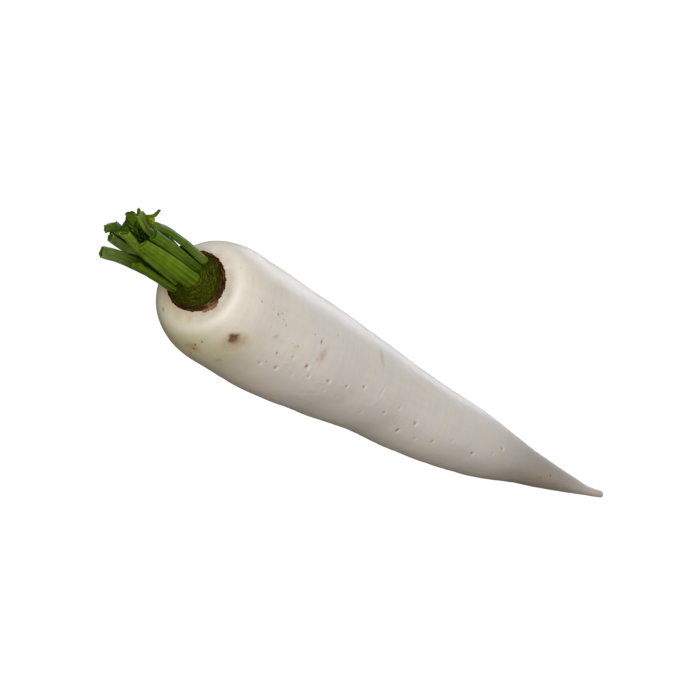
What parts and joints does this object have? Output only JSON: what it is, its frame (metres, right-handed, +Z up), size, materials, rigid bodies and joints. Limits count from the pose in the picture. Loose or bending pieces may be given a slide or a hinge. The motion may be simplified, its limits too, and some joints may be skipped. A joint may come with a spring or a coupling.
{
  "type": "daikon radish",
  "caption": "Long white tapered radish root lying on its side, with a scarred green-brown crown and a tuft of leaf stalks cut short.",
  "frame": {"origin": "centre of the bounding box at the resting surface", "axes": "+X along the root towards its tip, +Z up"},
  "size_m": [0.4504, 0.0658, 0.0755],
  "materials": {
    "root_skin": "smooth satin plant skin, off-white with faint tan scars",
    "crown_scars": "dull fibrous green-brown leaf scars",
    "stalk_green": "soft satin green leaf stalk"
  },
  "bodies": {
    "root": {"root": "root_skin", "crown": "crown_scars", "stalk_front": "stalk_green", "stalk_front_upper": "stalk_green", "stalk_bowed": "stalk_green", "stalk_left": "stalk_green", "stalk_left_short": "stalk_green", "stalk_low": "stalk_green", "stalk_back_low": "stalk_green", "stalk_back_mid": "stalk_green", "stalk_back_tall": "stalk_green", "stalk_leafy": "stalk_green", "stalk_sprig": "stalk_green", "stalk_heart": "stalk_green"}
  },
  "joints": []
}
